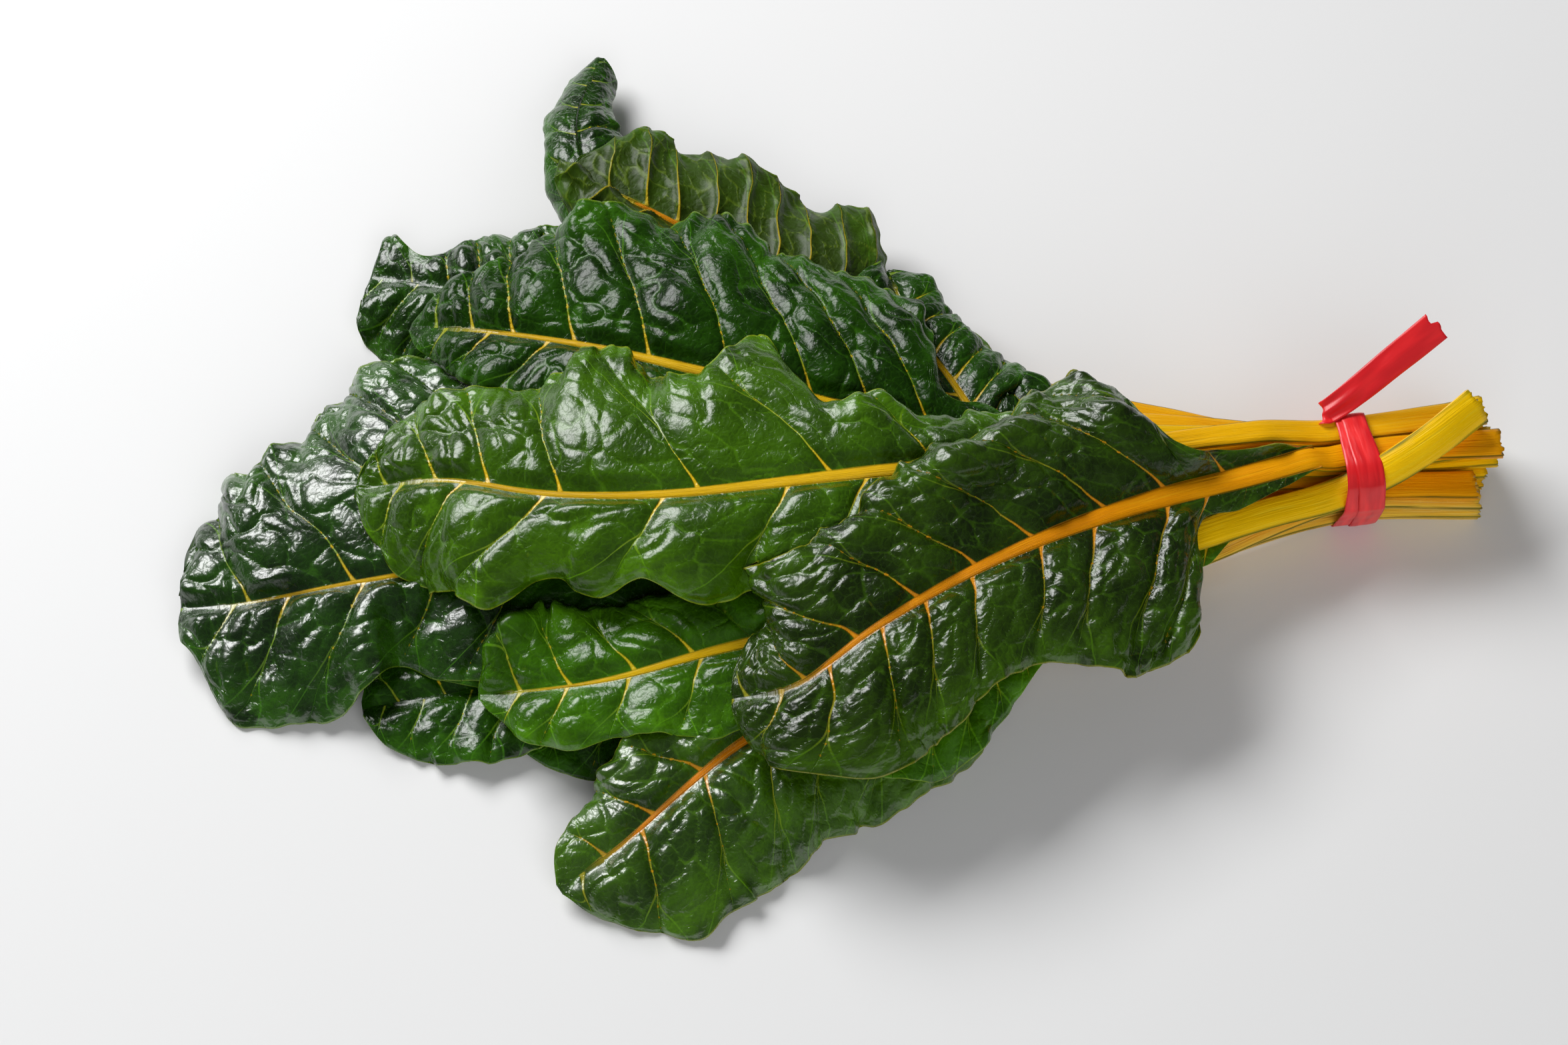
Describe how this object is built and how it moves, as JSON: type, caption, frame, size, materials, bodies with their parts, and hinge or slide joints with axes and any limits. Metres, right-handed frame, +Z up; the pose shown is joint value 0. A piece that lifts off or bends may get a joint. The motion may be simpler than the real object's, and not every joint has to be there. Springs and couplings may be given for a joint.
{
  "type": "bunch of swiss chard",
  "caption": "Bunch of dark green chard leaves with yellow and orange stems, lying flat and tied near the cut ends with a red ribbon.",
  "frame": {"origin": "centre of the bounding box's footprint, on the surface that the bunch lies on", "axes": "+X from the leaf tips to the cut ends of the stems, +Z up, +Y away from the viewer of the picture"},
  "size_m": [0.4609, 0.3487, 0.0694],
  "materials": {
    "dark_leaf": "glossy dark green leaf with yellow and pale green veins",
    "light_leaf": "glossy mid green leaf with yellow veins",
    "leaf_underside": "duller olive green underside with raised yellow veins",
    "orange_stem": "satin orange stem with fine lengthwise lines",
    "yellow_stem": "satin golden yellow stem with fine lengthwise lines",
    "red_ribbon": "glossy red ribbon with soft creases"
  },
  "bodies": {
    "root": {"low_middle_blade": "dark_leaf", "low_middle_stalk": "orange_stem", "low_front_blade": "dark_leaf", "low_front_stalk": "yellow_stem", "low_back_blade": "dark_leaf", "low_back_stalk": "orange_stem", "bottom_blade": "dark_leaf", "bottom_stalk": "orange_stem", "tall_back_blade": "dark_leaf", "tall_back_stalk": "orange_stem", "lower_left_blade": "dark_leaf", "lower_left_stalk": "yellow_stem", "upturned_blade": "leaf_underside", "upturned_stalk": "orange_stem", "left_blade": "dark_leaf", "left_stalk": "yellow_stem", "right_front_blade": "light_leaf", "right_front_stalk": "orange_stem", "back_right_blade": "dark_leaf", "back_right_stalk": "yellow_stem", "upper_blade": "dark_leaf", "upper_stalk": "yellow_stem", "short_blade": "light_leaf", "short_stalk": "yellow_stem", "centre_blade": "light_leaf", "centre_stalk": "yellow_stem", "front_blade": "dark_leaf", "front_stalk": "orange_stem", "ribbon_tie": "red_ribbon"}
  },
  "joints": []
}
